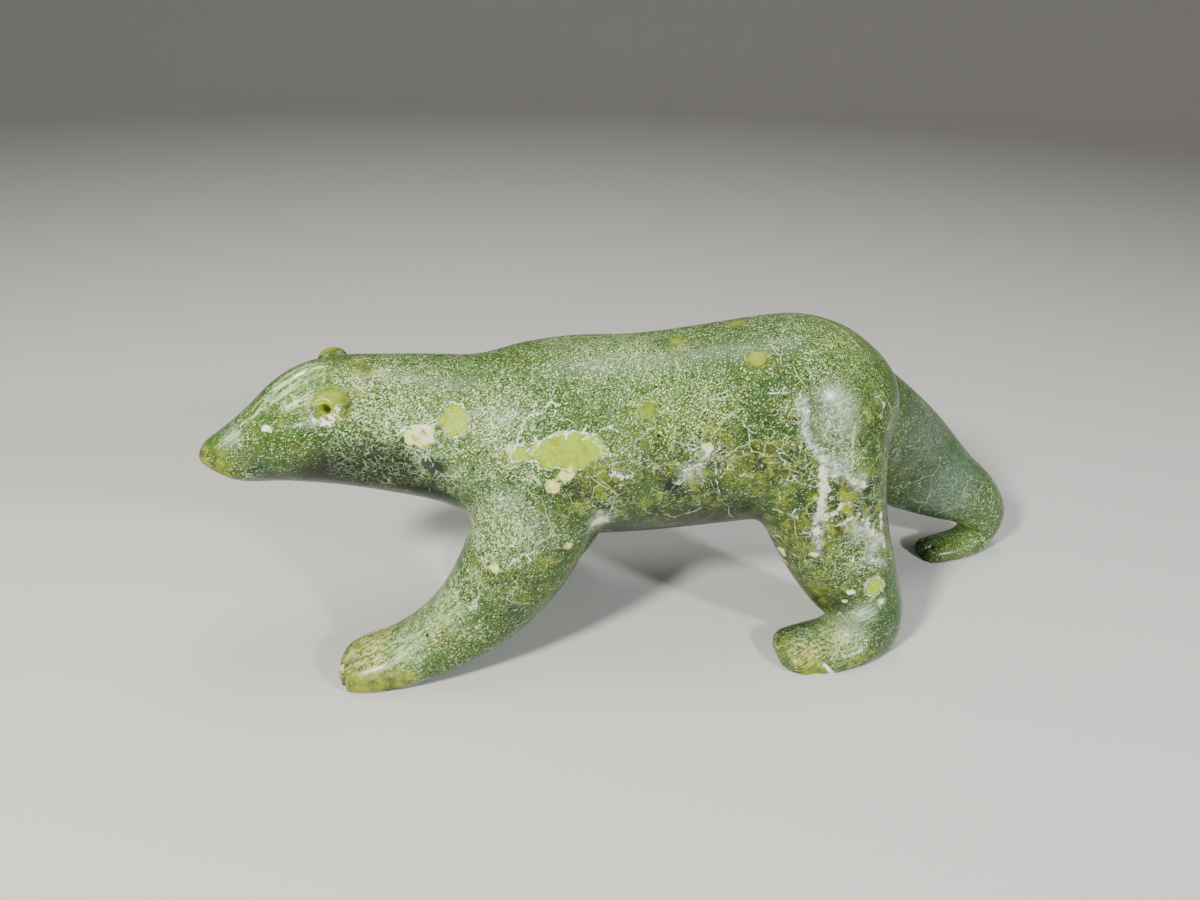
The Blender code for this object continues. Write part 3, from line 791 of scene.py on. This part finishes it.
# a waxed polish: a low sheen that the crystals break up
stoneFinish = {
    "roughness": (0.26, 0.38),
    "crystalRoughness": 0.16,
    "ior": 1.56,
    "specular": 0.22,
    "wax": 0.08,
    "waxRoughness": 0.15,
    "relief": 0.4,         # mm, sanding marks and the crystals
    "reliefStrength": 0.22,
}


def stoneMaterial():
    size, finish = stonePattern, stoneFinish
    stone = bpy.data.materials.new("waxed green serpentine")
    stone.use_nodes = True
    tree = stone.node_tree
    shader = tree.nodes["Principled BSDF"]
    colours = {name: linear(value) for name, value in stoneColours.items()}
    objectPlace = addNode(tree, "ShaderNodeTexCoord").outputs["Object"]
    place = addNode(tree, "ShaderNodeVectorMath", [(0, objectPlace), (3, 1 / mm)],
                    operation="SCALE").outputs[0]

    def sway(across, amount):
        # the place pushed about by a noise, so that shapes drawn in it come out ragged
        push = addNode(tree, "ShaderNodeTexNoise",
                       [("Vector", place), ("Scale", 1 / across), ("Detail", 2.0)]).outputs["Color"]
        centred = addNode(tree, "ShaderNodeVectorMath", [(0, push), (1, (0.5, 0.5, 0.5))],
                          operation="SUBTRACT").outputs[0]
        return addNode(tree, "ShaderNodeVectorMath", [(0, centred), (1, [amount] * 3), (2, place)],
                       operation="MULTIPLY_ADD").outputs[0]

    def ramp(value, low, high, start=0.0, end=1.0):
        return addNode(tree, "ShaderNodeMapRange",
                       [("Value", value), ("From Min", low), ("From Max", high), ("To Min", start),
                        ("To Max", end)], interpolation_type="SMOOTHSTEP").outputs["Result"]

    def noise(where, across, detail, rough=0.5):
        return addNode(tree, "ShaderNodeTexNoise",
                       [("Vector", where), ("Scale", 1 / across), ("Detail", detail),
                        ("Roughness", rough)]).outputs["Fac"]

    def combine(operation, *values):
        return addNode(tree, "ShaderNodeMath", list(enumerate(values)), operation=operation).outputs[0]

    def field(name):
        return addNode(tree, "ShaderNodeAttribute", attribute_name=name).outputs["Fac"]

    def mixColour(share, under, over):
        # sockets of the colour kind: the share, the two colours and the result
        return addNode(tree, "ShaderNodeMix", [(0, share), (6, under), (7, over)],
                       data_type="RGBA").outputs[2]

    def cellEdges(where, across):
        # the way to the nearest border of a net of cells
        return addNode(tree, "ShaderNodeTexVoronoi", [("Vector", where), ("Scale", 1 / across)],
                       feature="DISTANCE_TO_EDGE").outputs["Distance"]

    def drawnOut(shape):
        # the place stretched along the slope that crystals and scratches follow
        return addNode(tree, "ShaderNodeMapping",
                       [("Vector", place), ("Rotation", (0.0, math.radians(size["slope"]), 0.0)),
                        ("Scale", shape)], vector_type="TEXTURE").outputs[0]

    def lineNear(value, level, width):
        # 1 where a noise crosses a level: a thin wandering line
        return ramp(combine("ABSOLUTE", combine("SUBTRACT", value, level)), 0.0, width, 1.0, 0.0)

    frost, breccia, yellow, duskAndPaintedShade = (field(name) for name in ("frost", "breccia", "yellow", "duskAndPaintedShade"))
    coarse, fine = sway(*size["coarseSway"]), sway(*size["fineSway"])
    ragged = combine("SUBTRACT", noise(place, size["ragged"], 4.0, 0.62), 0.5)
    bulge = combine("SUBTRACT", noise(place, size["bulge"], 2.0), 0.5)

    # greens in clouds, bluer and yellower, mottled with dark
    tints = ramp(noise(coarse, size["tint"], 2.0), 0.42, 0.60)
    colour = mixColour(tints, colours["leafGreen"], colours["blueGreen"])
    olives = ramp(noise(coarse, size["olive"], 4.0, 0.6), 0.50, 0.64, 0.0, 0.7)
    colour = mixColour(olives, colour, colours["olive"])
    colour = mixColour(combine("MULTIPLY", breccia, 0.4), colour, colours["olive"])
    mottles = ramp(noise(fine, size["mottle"], 4.0, 0.6), 0.50, 0.68, 0.0, 0.6)
    colour = mixColour(mottles, colour, colours["deepGreen"])

    # broken grains some 8 mm across, yellow-green and near black, edged with white hairlines
    grain = noise(coarse, size["grain"], 4.0, 0.62)
    yellowShare = combine("MULTIPLY", ramp(grain, 0.49, 0.53), breccia)
    golds = ramp(noise(fine, size["grainTint"], 4.0, 0.6), 0.42, 0.61)
    gold = mixColour(golds, colours["olive"], colours["yellowGreen"])
    colour = mixColour(combine("MULTIPLY", yellowShare, 0.95), colour, gold)
    gaps = combine("MULTIPLY", ramp(noise(fine, size["gap"], 3.0, 0.62), 0.51, 0.57, 0.0, 0.9), breccia)
    colour = mixColour(gaps, colour, colours["deepGreen"])
    fading = ramp(noise(place, size["fade"], 2.0), 0.44, 0.58, 0.05, 1.0)
    cells = cellEdges(sway(*size["edgeSway"]), size["grain"])
    edge = combine("MAXIMUM", ramp(cells, 0.0, 0.018, 1.0, 0.0), lineNear(grain, 0.49, 0.004))
    edge = combine("MULTIPLY", edge, combine("MULTIPLY", fading, breccia))

    # deep green over the dusk clouds: dark stone, and painted shade on the undersides and the foreleg's
    # back
    colour = mixColour(ramp(duskAndPaintedShade, 0.0, 1.0, 0.0, 0.95), colour, colours["deepGreen"])
    colour = mixColour(ramp(combine("MULTIPLY_ADD", ragged, 0.9, yellow), 0.15, 0.85), colour, gold)
    colour = mixColour(ramp(yellow, 0.85, 1.15, 0.0, 0.8), colour, colours["limeGreen"])
    # where the crystals are finest they only make the green paler
    # fewer crystals and less paling in the dusk clouds, so the painted shade stays dark
    dark = ramp(duskAndPaintedShade, 0.0, 0.95, 1.0, 0.10)
    bloom = combine("MULTIPLY_ADD", frost, 0.22, combine("MULTIPLY", field("pale"), 0.6))
    bloom = combine("MULTIPLY", bloom, combine("MULTIPLY", dark, ramp(breccia, 0.0, 1.0, 1.0, 0.35)))
    colour = mixColour(bloom, colour, colours["paleGreen"])

    # single grains with thin broken borders
    clear = ramp(yellow, 0.6, 1.0)
    outsides = {}
    flecks = ramp(noise(fine, size["fleck"], 4.0, 0.6), 0.46, 0.66)
    # the dark shards are drawn over the crystals, further down
    for name, tint, broken in (("yellowGrain", "lemonGreen", 1.0), ("creamGrain", "cream", 1.1),
                               ("darkGrain", None, 1.2)):
        outsides[name] = combine("MULTIPLY_ADD", bulge, 4.5 * broken,
                                 combine("MULTIPLY_ADD", ragged, 4.0 * broken, field(name)))
        inside = ramp(outsides[name], -0.9, 0.2, 0.92, 0.0)
        if tint:
            colour = mixColour(inside, colour, mixColour(flecks, colours[tint], colours["limeGreen"]))
        clear = combine("MAXIMUM", clear, combine("MULTIPLY", inside, 0.85))
    rim = combine("MULTIPLY", lineNear(outsides["yellowGrain"], 0.2, 0.4),
                  ramp(noise(place, size["rim"], 1.0), 0.42, 0.56, 0.1, 0.9))
    colour = mixColour(rim, colour, colours["white"])

    # fine crystals half a millimetre across, drawn slightly coarse so that they show:
    # specks and dark pits, and a lace of short wandering threads
    patches = combine("ADD", combine("SUBTRACT", noise(place, size["patch"], 2.0), 0.5), frost)
    patches = combine("SUBTRACT", patches, combine("MULTIPLY", breccia, 0.25))
    level = combine("MULTIPLY_ADD", patches, -0.11, 0.61)
    dark = combine("MULTIPLY", dark, combine("SUBTRACT", 1.0, clear))
    crystal = noise(drawnOut(size["crystalShape"]), size["crystal"], 2.0, 0.62)
    specks = ramp(combine("SUBTRACT", crystal, level), 0.0, 0.045)
    pits = ramp(noise(fine, size["pit"], 3.0, 0.7), 0.38, 0.48, 0.75, 0.0)
    pits = combine("MULTIPLY", pits, ramp(frost, -0.4, 0.5))
    pits = combine("MULTIPLY", pits, combine("SUBTRACT", 1.0, combine("MULTIPLY", clear, 0.8)))
    colour = mixColour(pits, colour, colours["deepGreen"])
    strength = combine("MULTIPLY", ramp(noise(place, size["flicker"], 2.0), 0.35, 0.65, 0.4, 0.95), dark)
    colour = mixColour(combine("MULTIPLY", specks, strength), colour, colours["frost"])
    net = combine("MULTIPLY", ramp(cellEdges(fine, size["net"]), 0.0, 0.07, 1.0, 0.0),
                  ramp(noise(place, size["netBreak"], 2.0), 0.50, 0.60, 0.05, 1.0))
    threads = combine("MAXIMUM", net, lineNear(noise(fine, size["thread"], 4.0, 0.65), 0.5, 0.014))
    woven = combine("SUBTRACT", noise(place, size["weave"], 2.0), 0.5)
    woven = combine("MULTIPLY_ADD", woven, 2.4, field("lace"))
    threads = combine("MULTIPLY", threads, combine("MULTIPLY", ramp(woven, 0.15, 0.95, 0.03, 0.85),
                      combine("MULTIPLY_ADD", dark, 0.7, 0.3)))
    colour = mixColour(threads, colour, colours["frost"])
    bright = combine("MULTIPLY", ramp(noise(place, size["glint"], 2.0, 0.6), 0.65, 0.68),
                     ramp(patches, 0.1, 0.7, 0.2, 1.0))
    colour = mixColour(combine("MULTIPLY", bright, dark), colour, colours["white"])
    crystals = combine("MAXIMUM", threads, specks)
    colour = mixColour(combine("MULTIPLY", edge, 0.8), colour, colours["frost"])

    # milky places, where the veins and the break of the stone stay white
    cloudy = noise(fine, size["cloudy"], 4.0, 0.75)
    milk = combine("MULTIPLY", field("haze"), ramp(cloudy, 0.36, 0.60, 0.25, 0.9))
    colour = mixColour(milk, colour, colours["milk"])
    band = ramp(combine("MULTIPLY_ADD", ragged, 7.0, field("band")), -0.6, 2.0, 0.5, 0.0)
    band = combine("MULTIPLY", band, ramp(cloudy, 0.36, 0.58, 0.15, 1.0))
    colour = mixColour(band, colour, colours["milk"])
    # scuffed places, covered by fine scratches that run up and back
    scratches = drawnOut(size["scratchShape"])
    scuffing = ramp(noise(scratches, size["scratch"], 3.0, 0.7), 0.44, 0.58, 0.05, 0.85)
    scuffing = combine("MULTIPLY", field("scuff"), scuffing)
    scuffTint = mixColour(ramp(yellow, 0.15, 0.5), colours["frost"], colours["cream"])
    colour = mixColour(scuffing, colour, scuffTint)
    # painted highlight, partly wear: frost-coloured streaks along the brow ridges and the top of the snout
    streakAndPaintedHighlight = combine("MULTIPLY", ramp(field("streakAndPaintedHighlight"), 0.0, 0.8, 0.55, 0.0),
                    ramp(noise(scratches, size["streakAndPaintedHighlight"], 3.0, 0.6), 0.36, 0.56))
    colour = mixColour(streakAndPaintedHighlight, colour, colours["frost"])

    colour = mixColour(ramp(outsides["darkGrain"], -0.6, 0.6, 0.8, 0.0), colour, colours["shardGreen"])

    # long thin cracks filled with white, some 24 mm apart, that come and go
    crack = combine("MULTIPLY", ramp(cellEdges(coarse, size["crack"]), 0.0, 0.007, 1.0, 0.0),
                    ramp(noise(place, size["crackBreak"], 2.0), 0.50, 0.60))
    colour = mixColour(combine("MULTIPLY", crack, 0.7), colour, colours["frost"])

    # the drawn veins, dust and hairlines
    vein = combine("MULTIPLY_ADD", bulge, 3.0, combine("MULTIPLY_ADD", ragged, 5.0, field("vein")))
    veinTint = mixColour(ramp(cloudy, 0.42, 0.60, 0.0, 0.7), colours["chalk"], colours["paleGreen"])
    colour = mixColour(ramp(vein, -0.5, 0.5, 0.95, 0.0), colour, veinTint)
    dust = combine("SUBTRACT", noise(place, size["dust"], 3.0, 0.7), 0.5)
    dust = combine("MULTIPLY_ADD", dust, 12.0, field("dust"))
    colour = mixColour(ramp(dust, -1.0, 0.6, 0.9, 0.0), colour, colours["white"])
    flake = combine("MULTIPLY_ADD", ragged, 3.0, field("flake"))
    colour = mixColour(ramp(flake, -0.2, 0.4, 0.95, 0.0), colour, colours["white"])
    breaks = ramp(noise(place, size["lineBreak"], 2.0), 0.38, 0.54, 0.3, 1.0)
    for name, tint in (("hair", "hairline"), ("creamLine", "cream")):
        thin = ramp(combine("MULTIPLY_ADD", ragged, 0.9, field(name)), -0.15, 0.15, 0.9, 0.0)
        colour = mixColour(combine("MULTIPLY", thin, breaks), colour, colours[tint])

    tree.links.new(colour, shader.inputs["Base Color"])
    rough = ramp(noise(place, size["polish"], 2.0), 0.3, 0.7, *finish["roughness"])
    rough = combine("MULTIPLY_ADD", crystals, finish["crystalRoughness"], rough)
    tree.links.new(rough, shader.inputs["Roughness"])
    shader.inputs["IOR"].default_value = finish["ior"]
    shader.inputs["Specular IOR Level"].default_value = finish["specular"]
    shader.inputs["Coat Weight"].default_value = finish["wax"]
    shader.inputs["Coat Roughness"].default_value = finish["waxRoughness"]
    relief = combine("MULTIPLY_ADD", specks, 0.5, noise(place, size["sanding"], 2.0, 0.6))
    bump = addNode(tree, "ShaderNodeBump", [("Height", relief), ("Distance", finish["relief"] * mm),
                   ("Strength", finish["reliefStrength"])])
    tree.links.new(bump.outputs["Normal"], shader.inputs["Normal"])
    print("stone material mixed")
    return stone


setCamera()
setLights()
makeFloor()
bear = makeBear()
paintFields(bear)
bear.data.materials.append(stoneMaterial())
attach(bear, "root")
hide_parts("bear")
print("bear finished")
